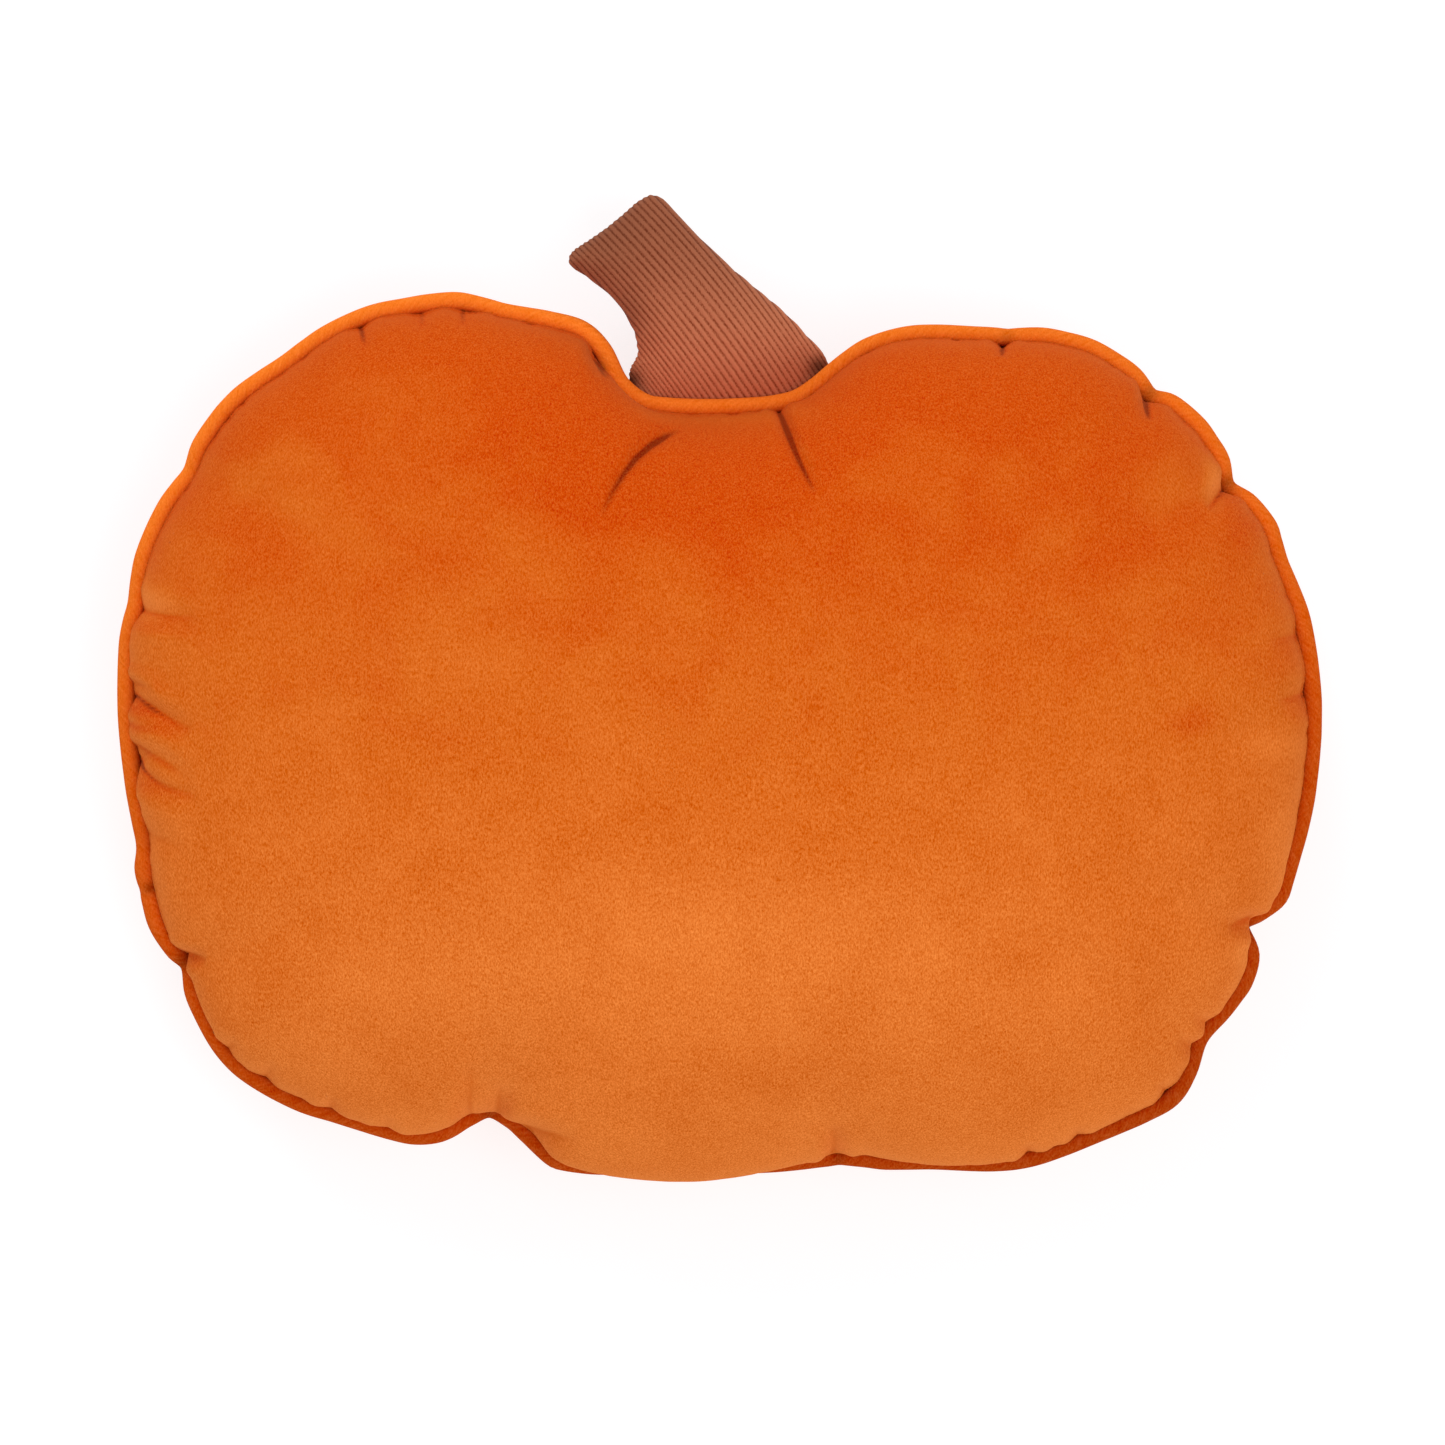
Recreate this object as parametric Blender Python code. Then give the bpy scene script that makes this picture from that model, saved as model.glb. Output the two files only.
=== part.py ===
"""Pumpkin cushion: a filled velvet body, corded piping in its edge seam, and a stuffed corduroy stem.

The cushion lies on its back with its face up. Metres, +Z up, +X to the face's right and +Y towards the stem.
The origin is on the surface that it lies on, under the middle of its whole outline.
"""

import math
from collections import namedtuple

import bmesh
import bpy
from mathutils import Matrix, Vector

# Heights and thicknesses
SEAM_HEIGHT = 0.058
CROWN_HEIGHT = 0.136
PIPING_RADIUS = 0.0035
SEAM_GAP = 0.0003
BRIM_RISE = 0.0065

# How finely the edge is stepped
STATION_LENGTH = 0.0095

# The middle that the body's rings close on
BODY_MIDDLE = Vector((0.0, -0.018))

# The edge of the cushion, anticlockwise as seen from above, starting in the tuck on the right.
# x, y: a place on the outer side of the piping. shows: how much of the piping's width the front panel
# leaves in sight, less than nothing where the panel hangs past it. lift: the seam above SEAM_HEIGHT.
EdgePlace = namedtuple("EdgePlace", "x y shows lift")
EDGE = [
    EdgePlace(0.1978, -0.0885, 0.0006, -0.0040),
    EdgePlace(0.2035, -0.0856, 0.0014, -0.0030),
    EdgePlace(0.2112, -0.0795, 0.0030, -0.0010),
    EdgePlace(0.2170, -0.0620, 0.0046, 0.0000),
    EdgePlace(0.2220, -0.0420, 0.0060, 0.0005),
    EdgePlace(0.2248, -0.0140, 0.0056, 0.0010),
    EdgePlace(0.2238, 0.0080, 0.0068, 0.0015),
    EdgePlace(0.2198, 0.0300, 0.0062, 0.0010),
    EdgePlace(0.2122, 0.0490, 0.0058, 0.0000),
    EdgePlace(0.2075, 0.0635, 0.0050, 0.0010),
    EdgePlace(0.2000, 0.0728, 0.0050, 0.0000),
    EdgePlace(0.1925, 0.0780, 0.0042, -0.0030),
    EdgePlace(0.1902, 0.0875, 0.0052, -0.0010),
    EdgePlace(0.1805, 0.1020, 0.0062, 0.0015),
    EdgePlace(0.1705, 0.1102, 0.0058, 0.0010),
    EdgePlace(0.1630, 0.1128, 0.0040, -0.0025),
    EdgePlace(0.1570, 0.1202, 0.0050, 0.0000),
    EdgePlace(0.1400, 0.1310, 0.0054, 0.0020),
    EdgePlace(0.1200, 0.1357, 0.0056, 0.0025),
    EdgePlace(0.1080, 0.1355, 0.0056, 0.0010),
    EdgePlace(0.0900, 0.1364, 0.0056, 0.0025),
    EdgePlace(0.0710, 0.1364, 0.0052, 0.0025),
    EdgePlace(0.0530, 0.1311, 0.0050, 0.0015),
    EdgePlace(0.0395, 0.1213, 0.0050, 0.0000),
    EdgePlace(0.0270, 0.1122, 0.0054, -0.0010),
    EdgePlace(0.0100, 0.1096, 0.0062, -0.0015),
    EdgePlace(-0.0110, 0.1092, 0.0068, -0.0015),
    EdgePlace(-0.0270, 0.1110, 0.0062, -0.0010),
    EdgePlace(-0.0345, 0.1170, 0.0055, 0.0000),
    EdgePlace(-0.0410, 0.1295, 0.0058, 0.0015),
    EdgePlace(-0.0500, 0.1380, 0.0062, 0.0020),
    EdgePlace(-0.0630, 0.1417, 0.0068, 0.0020),
    EdgePlace(-0.0800, 0.1447, 0.0056, 0.0010),
    EdgePlace(-0.0980, 0.1489, 0.0066, 0.0025),
    EdgePlace(-0.1200, 0.1463, 0.0068, 0.0020),
    EdgePlace(-0.1345, 0.1427, 0.0060, 0.0010),
    EdgePlace(-0.1500, 0.1351, 0.0058, 0.0015),
    EdgePlace(-0.1635, 0.1253, 0.0062, 0.0005),
    EdgePlace(-0.1800, 0.1140, 0.0067, 0.0020),
    EdgePlace(-0.1900, 0.1035, 0.0067, 0.0015),
    EdgePlace(-0.1970, 0.0930, 0.0068, 0.0005),
    EdgePlace(-0.2002, 0.0835, 0.0058, -0.0020),
    EdgePlace(-0.2095, 0.0710, 0.0066, 0.0000),
    EdgePlace(-0.2183, 0.0510, 0.0060, 0.0015),
    EdgePlace(-0.2212, 0.0330, 0.0051, 0.0005),
    EdgePlace(-0.2243, 0.0190, 0.0049, 0.0010),
    EdgePlace(-0.2248, -0.0100, 0.0048, 0.0005),
    EdgePlace(-0.2216, -0.0390, 0.0044, 0.0000),
    EdgePlace(-0.2180, -0.0580, 0.0054, -0.0010),
    EdgePlace(-0.2178, -0.0700, 0.0062, -0.0015),
    EdgePlace(-0.2130, -0.0890, 0.0068, 0.0000),
    EdgePlace(-0.2065, -0.0990, 0.0038, -0.0015),
    EdgePlace(-0.2013, -0.1040, 0.0030, -0.0035),
    EdgePlace(-0.2000, -0.1130, 0.0042, -0.0015),
    EdgePlace(-0.1915, -0.1310, 0.0034, 0.0000),
    EdgePlace(-0.1800, -0.1444, 0.0052, 0.0000),
    EdgePlace(-0.1610, -0.1556, 0.0052, -0.0010),
    EdgePlace(-0.1450, -0.1611, 0.0036, -0.0020),
    EdgePlace(-0.1150, -0.1695, 0.0030, -0.0030),
    EdgePlace(-0.0995, -0.1668, 0.0046, -0.0040),
    EdgePlace(-0.0862, -0.1598, 0.0030, -0.0070),
    EdgePlace(-0.0745, -0.1680, 0.0040, -0.0055),
    EdgePlace(-0.0650, -0.1768, 0.0036, -0.0050),
    EdgePlace(-0.0500, -0.1806, 0.0000, -0.0060),
    EdgePlace(-0.0120, -0.1812, -0.0036, -0.0080),
    EdgePlace(0.0220, -0.1799, 0.0004, -0.0070),
    EdgePlace(0.0460, -0.1775, 0.0044, -0.0065),
    EdgePlace(0.0610, -0.1790, 0.0042, -0.0055),
    EdgePlace(0.0780, -0.1789, 0.0012, -0.0050),
    EdgePlace(0.1030, -0.1796, 0.0026, -0.0040),
    EdgePlace(0.1200, -0.1770, 0.0048, -0.0030),
    EdgePlace(0.1400, -0.1694, 0.0046, -0.0020),
    EdgePlace(0.1600, -0.1609, 0.0056, -0.0010),
    EdgePlace(0.1712, -0.1543, 0.0055, 0.0000),
    EdgePlace(0.1780, -0.1435, 0.0050, -0.0005),
    EdgePlace(0.1822, -0.1313, 0.0042, -0.0030),
    EdgePlace(0.1900, -0.1223, 0.0042, -0.0010),
    EdgePlace(0.1990, -0.1095, 0.0045, 0.0000),
    EdgePlace(0.2017, -0.0980, 0.0032, -0.0010),
]

# Sewn-in creases of the front panel. Each is a soft trough from (x0, y0) at the seam to (x1, y1).
Crease = namedtuple("Crease", "x0 y0 x1 y1 depth width")
CREASES = [
    Crease(-0.0020, 0.1010, -0.0270, 0.0895, 0.0030, 0.0070),
    Crease(-0.0270, 0.0895, -0.0430, 0.0660, 0.0026, 0.0075),
    Crease(0.0215, 0.1040, 0.0345, 0.0760, 0.0040, 0.0070),
    Crease(-0.0460, 0.1260, -0.0410, 0.1140, 0.0025, 0.0065),
    Crease(-0.2180, -0.0040, -0.1930, -0.0125, 0.0028, 0.0070),
    Crease(-0.2170, -0.0260, -0.1900, -0.0350, 0.0034, 0.0075),
    Crease(-0.1990, -0.0990, -0.1800, -0.0990, 0.0045, 0.0070),
    Crease(-0.0840, -0.1560, -0.0880, -0.1330, 0.0055, 0.0100),
    Crease(0.0440, -0.1710, 0.0420, -0.1560, 0.0028, 0.0090),
    Crease(0.1960, -0.0880, 0.1780, -0.0860, 0.0050, 0.0085),
    Crease(0.1790, -0.1290, 0.1640, -0.1230, 0.0030, 0.0090),
    Crease(0.2160, -0.0060, 0.1900, -0.0220, 0.0024, 0.0070),
    Crease(0.1890, 0.0750, 0.1740, 0.0680, 0.0045, 0.0085),
    Crease(0.1600, 0.1090, 0.1540, 0.0930, 0.0040, 0.0080),
    Crease(-0.1970, 0.0810, -0.1800, 0.0780, 0.0030, 0.0090),
]

# How the front and back rise from the seam
SEAM_TURNS = 3
FRONT_RINGS = 10
FRONT_POWER = 2.5
BACK_RINGS = 6
BACK_POWER = 2.1
BACK_FLAT_SHARE = 0.44
INNER_RING = 0.14
NOTCH_BACK_SHOWS = 0.0075
SMOOTHING = 1.0
SMOOTHING_POWER = 2.0

# The stem's outline, anticlockwise from the left end of its base, which is tucked under the piping
StemPlace = namedtuple("StemPlace", "x y")
STEM_BASE = [
    StemPlace(-0.0312, 0.1120),
    StemPlace(-0.0240, 0.1056),
    StemPlace(-0.0110, 0.1034),
    StemPlace(0.0100, 0.1036),
    StemPlace(0.0250, 0.1058),
    StemPlace(0.0365, 0.1140),
]
STEM_SIDE_RIGHT = [
    StemPlace(0.0405, 0.1235),
    StemPlace(0.0350, 0.1295),
    StemPlace(0.0250, 0.1400),
    StemPlace(0.0150, 0.1485),
    StemPlace(0.0050, 0.1568),
    StemPlace(-0.0050, 0.1662),
    StemPlace(-0.0170, 0.1785),
]
STEM_TIP = [
    StemPlace(-0.0215, 0.1836),
    StemPlace(-0.0255, 0.1852),
    StemPlace(-0.0300, 0.1828),
    StemPlace(-0.0400, 0.1742),
    StemPlace(-0.0490, 0.1678),
    StemPlace(-0.0545, 0.1643),
    StemPlace(-0.0566, 0.1610),
    StemPlace(-0.0548, 0.1586),
]
STEM_SIDE_LEFT = [
    StemPlace(-0.0480, 0.1543),
    StemPlace(-0.0400, 0.1475),
    StemPlace(-0.0330, 0.1378),
    StemPlace(-0.0300, 0.1275),
    StemPlace(-0.0322, 0.1190),
]
STEM_HALF_THICKNESS = 0.0115
STEM_SIDE_REACH = 0.017
STEM_BASE_REACH = 0.034
STEM_BASE_DEPTH = 0.0078
STEM_DROOP = 0.004
STEM_TIP_PLACE = Vector((-0.040, 0.172))
STEM_EDGE_STEP = 0.0035

# Corduroy wales of the stem: 11 to the inch, turning a little from the tip to the base
WALE_PITCH = 0.00235
WALE_HEIGHT = 0.0007
WALE_ANGLE = math.radians(-51.0)
WALE_BEND = 2.2
WALE_MIDDLE = Vector((-0.010, 0.146))
WALE_ROW = 0.0065

VELVET_ORANGE = (0.71, 0.14, 0.012, 1.0)
PIPING_ORANGE = (0.74, 0.13, 0.010, 1.0)
CORDUROY_BROWN = (0.36, 0.105, 0.045, 1.0)


def clear_scene():
    for old in list(bpy.data.objects):
        bpy.data.objects.remove(old, do_unlink=True)


def make_material(name, colour, roughness):
    material = bpy.data.materials.new(name)
    material.use_nodes = True
    shader = material.node_tree.nodes["Principled BSDF"]
    shader.inputs["Base Color"].default_value = colour
    shader.inputs["Roughness"].default_value = roughness
    shader.inputs["Metallic"].default_value = 0.0
    material.diffuse_color = colour
    return material


def curve_between(before, start, end, after, share):
    """A Catmull-Rom point between start and end; each is a tuple of numbers."""
    t2 = share * share
    t3 = t2 * share
    return [
        0.5 * (2 * b + (c - a) * share + (2 * a - 5 * b + 4 * c - d) * t2 + (3 * b - a - 3 * c + d) * t3)
        for a, b, c, d in zip(before, start, end, after)
    ]


def closed_curve(rows, step):
    """The rows joined by one smooth closed curve, stepped about every step along it."""
    points = []
    count = len(rows)
    for i in range(count):
        start, end = rows[i], rows[(i + 1) % count]
        before, after = rows[i - 1], rows[(i + 2) % count]
        length = math.dist(start[:2], end[:2])
        steps = max(1, round(length / step))
        for k in range(steps):
            points.append(curve_between(before, start, end, after, k / steps))
    return points


def outward_normals(loop):
    """Unit normals of a closed anticlockwise loop of 2D points, halving the angle at each."""
    normals = []
    for i, here in enumerate(loop):
        into = (here - loop[i - 1]).normalized()
        out = (loop[(i + 1) % len(loop)] - here).normalized()
        along = (into + out).normalized()
        normals.append(Vector((along.y, -along.x)))
    return normals


def smoothed(loop, passes):
    """The closed loop with each point drawn towards its neighbours, passes times."""
    for _ in range(passes):
        loop = [
            (loop[i - 1] + loop[i] * 2 + loop[(i + 1) % len(loop)]) / 4
            for i in range(len(loop))
        ]
    return loop


def smoothing_passes(ring):
    """More passes the further in a ring is, so that the edge's tucks fade out towards the middle."""
    return round(SMOOTHING * ring ** SMOOTHING_POWER)


def distance_to_line(place, start, end):
    """(distance from place to the line from start to end, share of the way along it)."""
    along = end - start
    share = max(0.0, min(1.0, (place - start).dot(along) / along.length_squared))
    return (place - start - along * share).length, share


def crease_drop(place):
    """How far the creases pull the front panel down at a place."""
    drop = 0.0
    for crease in CREASES:
        start, end = Vector((crease.x0, crease.y0)), Vector((crease.x1, crease.y1))
        away, share = distance_to_line(place, start, end)
        across = math.exp(-((away / crease.width) ** 2) * 2)
        drop += crease.depth * across * (1 - 0.75 * share)
    return drop


Station = namedtuple("Station", "cord normal height shows")


def edge_stations():
    """Where the piping's middle runs, with the outward normal, seam height and width in sight."""
    rows = closed_curve(EDGE, STATION_LENGTH)
    outer = [Vector(row[:2]) for row in rows]
    cord = [place - normal * PIPING_RADIUS for place, normal in zip(outer, outward_normals(outer))]
    normals = outward_normals(cord)
    return [
        Station(place, normal, SEAM_HEIGHT + row[3], row[2])
        for place, normal, row in zip(cord, normals, rows)
    ]


def seam_turn(station, side, reach):
    """Points of one section from the seam's root round the piping to the brim. side is 1 up, -1 down."""
    clear = PIPING_RADIUS + SEAM_GAP
    leave = math.acos(max(-0.15, min(0.92, -(reach - SEAM_GAP) / clear)))
    step = leave / (SEAM_TURNS - 1)
    section = []
    for k in range(1, SEAM_TURNS):
        place = station.cord - station.normal * clear / math.cos(step / 2) * math.cos(step * k)
        section.append((place, station.height + side * clear / math.cos(step / 2) * math.sin(step * k)))
    return section


def dome(share, power):
    """Height share of a filled panel at a share of the way in from its brim."""
    return math.sqrt(max(0.0, 1 - (1 - share) ** power))


def body_rings(stations):
    """The body's loops from the middle of the face, over the brim and seam, to the flat of the back."""
    front_reach = [PIPING_RADIUS - s.shows for s in stations]
    back_reach = [
        PIPING_RADIUS - (NOTCH_BACK_SHOWS if behind_stem(s.cord) else max(0.0045, s.shows)) for s in stations
    ]
    clear = PIPING_RADIUS + SEAM_GAP
    rings = []

    brim = [s.cord + s.normal * reach for s, reach in zip(stations, front_reach)]
    for ring in range(FRONT_RINGS, 0, -1):
        share = (1 - INNER_RING) * (ring / FRONT_RINGS) ** 1.9
        loop = smoothed(brim, smoothing_passes(ring))
        level = []
        for s, place in zip(stations, loop):
            flat = place + (BODY_MIDDLE - place) * share
            low = s.height + clear + BRIM_RISE
            high = low + (CROWN_HEIGHT - low) * dome(share, FRONT_POWER)
            level.append(flat.to_3d() + Vector((0, 0, high - crease_drop(flat))))
        rings.append(level)

    rings.append([p.to_3d() + Vector((0, 0, s.height + clear + BRIM_RISE)) for s, p in zip(stations, brim)])
    front_turn = [seam_turn(s, 1, reach) for s, reach in zip(stations, front_reach)]
    for k in range(SEAM_TURNS - 2, -1, -1):
        rings.append([turn[k][0].to_3d() + Vector((0, 0, turn[k][1])) for turn in front_turn])
    rings.append([(s.cord - s.normal * clear).to_3d() + Vector((0, 0, s.height)) for s in stations])
    back_turn = [seam_turn(s, -1, reach) for s, reach in zip(stations, back_reach)]
    for k in range(SEAM_TURNS - 1):
        rings.append([turn[k][0].to_3d() + Vector((0, 0, turn[k][1])) for turn in back_turn])

    brim = [s.cord + s.normal * reach for s, reach in zip(stations, back_reach)]
    rings.append([p.to_3d() + Vector((0, 0, s.height - clear - BRIM_RISE)) for s, p in zip(stations, brim)])
    for ring in range(1, BACK_RINGS + 1):
        share = BACK_FLAT_SHARE * (ring / BACK_RINGS) ** 1.7
        loop = smoothed(brim, smoothing_passes(ring))
        level = []
        for s, place in zip(stations, loop):
            flat = place + (BODY_MIDDLE - place) * share
            high = (s.height - clear - BRIM_RISE) * (1 - dome(share / BACK_FLAT_SHARE, BACK_POWER))
            level.append(flat.to_3d() + Vector((0, 0, high)))
        rings.append(level)
    return rings


def behind_stem(place):
    """True for the stretch of seam that the stem is sewn into."""
    return place.y > 0 and STEM_BASE[0].x - 0.004 < place.x < STEM_BASE[-1].x + 0.004


def build_body(stations, collection, material):
    mesh = bpy.data.meshes.new("cushion_body")
    bm = bmesh.new()
    loops = [[bm.verts.new(p) for p in ring] for ring in body_rings(stations)]
    count = len(stations)
    for upper, lower in zip(loops, loops[1:]):
        for i in range(count):
            k = (i + 1) % count
            bm.faces.new((upper[i], lower[i], lower[k], upper[k]))
    crown = bm.verts.new(BODY_MIDDLE.to_3d() + Vector((0, 0, CROWN_HEIGHT)))
    for i in range(count):
        bm.faces.new((crown, loops[0][i], loops[0][(i + 1) % count]))
    bm.faces.new(list(reversed(loops[-1])))
    bm.to_mesh(mesh)
    bm.free()
    mesh.shade_smooth()
    mesh.materials.append(material)
    body = bpy.data.objects.new("cushion_body", mesh)
    collection.objects.link(body)
    return body


def build_piping(stations, collection, material):
    curve = bpy.data.curves.new("piping", "CURVE")
    curve.dimensions = "3D"
    curve.bevel_depth = PIPING_RADIUS
    curve.bevel_resolution = 2
    spline = curve.splines.new("POLY")
    spline.points.add(len(stations) - 1)
    for point, s in zip(spline.points, stations):
        point.co = (s.cord.x, s.cord.y, s.height, 1.0)
    spline.use_cyclic_u = True
    curve.materials.append(material)
    piping = bpy.data.objects.new("piping", curve)
    collection.objects.link(piping)
    return piping


def to_cloth(place):
    """(across the wales, along them) of a place on the stem."""
    along = Vector((math.cos(WALE_ANGLE), math.sin(WALE_ANGLE)))
    across = Vector((-along.y, along.x))
    local = place - WALE_MIDDLE
    run = local.dot(along)
    return Vector((local.dot(across) + WALE_BEND * run * run / 2, run))


def from_cloth(cloth):
    along = Vector((math.cos(WALE_ANGLE), math.sin(WALE_ANGLE)))
    across = Vector((-along.y, along.x))
    return WALE_MIDDLE + along * cloth.y + across * (cloth.x - WALE_BEND * cloth.y * cloth.y / 2)


def distance_to_path(place, path):
    return min(distance_to_line(place, a, b)[0] for a, b in zip(path, path[1:]))


def build_stem(collection, material):
    rows = STEM_BASE + STEM_SIDE_RIGHT + STEM_TIP + STEM_SIDE_LEFT
    outline = [Vector(p) for p in closed_curve(rows, STEM_EDGE_STEP)]
    base = [Vector(p) for p in STEM_BASE]
    free = [Vector(p) for p in STEM_BASE[-1:] + STEM_SIDE_RIGHT + STEM_TIP + STEM_SIDE_LEFT + STEM_BASE[:1]]

    bm = bmesh.new()
    bm.faces.new([bm.verts.new(to_cloth(p).to_3d()) for p in outline])
    cloth = [to_cloth(p) for p in outline]
    cut_evenly(bm, Vector((1, 0, 0)), min(p.x for p in cloth), max(p.x for p in cloth), WALE_PITCH / 2)
    cut_evenly(bm, Vector((0, 1, 0)), min(p.y for p in cloth), max(p.y for p in cloth), WALE_ROW)

    heights = {}
    for vert in bm.verts:
        flat = from_cloth(vert.co.to_2d())
        half = 0.0
        if not vert.is_boundary:
            side = min(1.0, distance_to_path(flat, free) / STEM_SIDE_REACH)
            root = min(1.0, distance_to_path(flat, base) / STEM_BASE_REACH)
            ridge = math.cos(2 * math.pi * vert.co.x / WALE_PITCH) * WALE_HEIGHT / 2
            half = STEM_HALF_THICKNESS * math.sqrt(1 - (1 - side) ** 2) * math.sin(root * math.pi / 2)
            half += ridge * min(1.0, 3 * side)
        heights[vert.index] = (flat, half)

    mesh = bpy.data.meshes.new("stem")
    shell = bmesh.new()
    for up in (1, -1):
        copied = {}
        for vert in bm.verts:
            flat, half = heights[vert.index]
            copied[vert.index] = shell.verts.new(flat.to_3d() + Vector((0, 0, stem_level(flat) + up * half)))
        for face in bm.faces:
            corners = [copied[v.index] for v in face.verts]
            shell.faces.new(corners if up > 0 else list(reversed(corners)))
    bm.free()
    bmesh.ops.remove_doubles(shell, verts=shell.verts, dist=1e-6)
    shell.to_mesh(mesh)
    shell.free()
    mesh.shade_smooth()
    mesh.materials.append(material)
    stem = bpy.data.objects.new("stem", mesh)
    collection.objects.link(stem)
    return stem


def cut_evenly(bm, normal, low, high, step):
    """Cuts the flat cloth by lines square to normal, at whole multiples of step."""
    for k in range(math.ceil(low / step), math.floor(high / step) + 1):
        parts = list(bm.verts) + list(bm.edges) + list(bm.faces)
        bmesh.ops.bisect_plane(bm, geom=parts, dist=1e-6, plane_co=normal * k * step, plane_no=normal)
    bm.verts.index_update()


def stem_level(place):
    """Height of the stem's middle layer: under the piping at the base, drooping a little at the tip."""
    base = Vector((0.0, 0.106))
    share = max(0.0, min(1.0, (place.y - base.y) / (STEM_TIP_PLACE.y - base.y)))
    rise = math.sin(share * math.pi / 2) * (STEM_BASE_DEPTH - STEM_DROOP)
    return SEAM_HEIGHT - STEM_BASE_DEPTH + rise


def centre_over_origin(objects):
    """Moves the shapes together so that the middle of their whole outline is over the origin."""
    bpy.context.view_layer.update()
    corners = [Vector(corner) for obj in objects for corner in obj.bound_box]
    middle_x = (min(c.x for c in corners) + max(c.x for c in corners)) / 2
    middle_y = (min(c.y for c in corners) + max(c.y for c in corners)) / 2
    for obj in objects:
        obj.data.transform(Matrix.Translation((-middle_x, -middle_y, 0.0)))


def main():
    clear_scene()
    collection = bpy.data.collections.new("pumpkin_cushion")
    bpy.context.scene.collection.children.link(collection)
    stations = edge_stations()
    centre_over_origin([
        build_body(stations, collection, make_material("velvet_orange", VELVET_ORANGE, 0.9)),
        build_piping(stations, collection, make_material("velvet_piping", PIPING_ORANGE, 0.9)),
        build_stem(collection, make_material("corduroy_brown", CORDUROY_BROWN, 0.92)),
    ])


main()
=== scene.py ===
import math
from collections import namedtuple

import bmesh
import bpy
import numpy as np
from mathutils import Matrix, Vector


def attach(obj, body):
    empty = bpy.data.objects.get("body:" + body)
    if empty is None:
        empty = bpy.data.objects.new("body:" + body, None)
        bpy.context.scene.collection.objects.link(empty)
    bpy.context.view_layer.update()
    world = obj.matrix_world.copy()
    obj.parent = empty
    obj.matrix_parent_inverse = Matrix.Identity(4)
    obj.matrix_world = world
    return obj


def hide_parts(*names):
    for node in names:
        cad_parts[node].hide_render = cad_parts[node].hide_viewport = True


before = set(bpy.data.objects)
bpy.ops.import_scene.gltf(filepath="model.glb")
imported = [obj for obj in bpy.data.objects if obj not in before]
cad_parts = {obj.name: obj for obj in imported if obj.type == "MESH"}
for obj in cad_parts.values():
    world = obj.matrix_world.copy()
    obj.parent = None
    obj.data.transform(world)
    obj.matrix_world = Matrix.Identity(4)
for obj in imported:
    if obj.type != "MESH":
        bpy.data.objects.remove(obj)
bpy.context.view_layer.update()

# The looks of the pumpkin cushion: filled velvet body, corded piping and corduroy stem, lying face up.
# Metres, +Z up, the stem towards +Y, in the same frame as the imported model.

# The photograph's framing, at the height of the seam
SEAM_HEIGHT = 0.0575
FRAME_WIDTH = 0.5396
FRAME_MIDDLE = Vector((0.0011, -0.0120))
CAMERA_DISTANCE = 6.0
SENSOR_WIDTH = 36.0

# Fineness of the meshes, and how the panels are drawn up to the piping
PIPING_STEP = 0.0018
PIPING_UNEVEN = 0.012
EDGE_BAND = 0.0112
SEAM_CLEAR = 0.00012
HUG_FULL = 0.0014
HUG_NONE = 0.0050
FOLD_STEPS = 6

# The shape of a fold beside its trough, the seam's gathers, and how dark the painted shade in both is drawn
SHOULDER_PLACE = 2.2
SHOULDER_RISE = 0.38
VALLEY_WIDTH = 0.0010
VALLEY_FULL_DEPTH = 0.0030
OPEN_START = 0.005
GATHER_REACH = 0.010
GATHER_FULL_DEPTH = 0.0045

# The filling's simulation
FILL_PRESSURE = 4.0
FILL_FRAMES = 20
FILL_CAP = 0.006
SEWN_BAND = 0.012
FREE_BAND = 0.045

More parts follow.
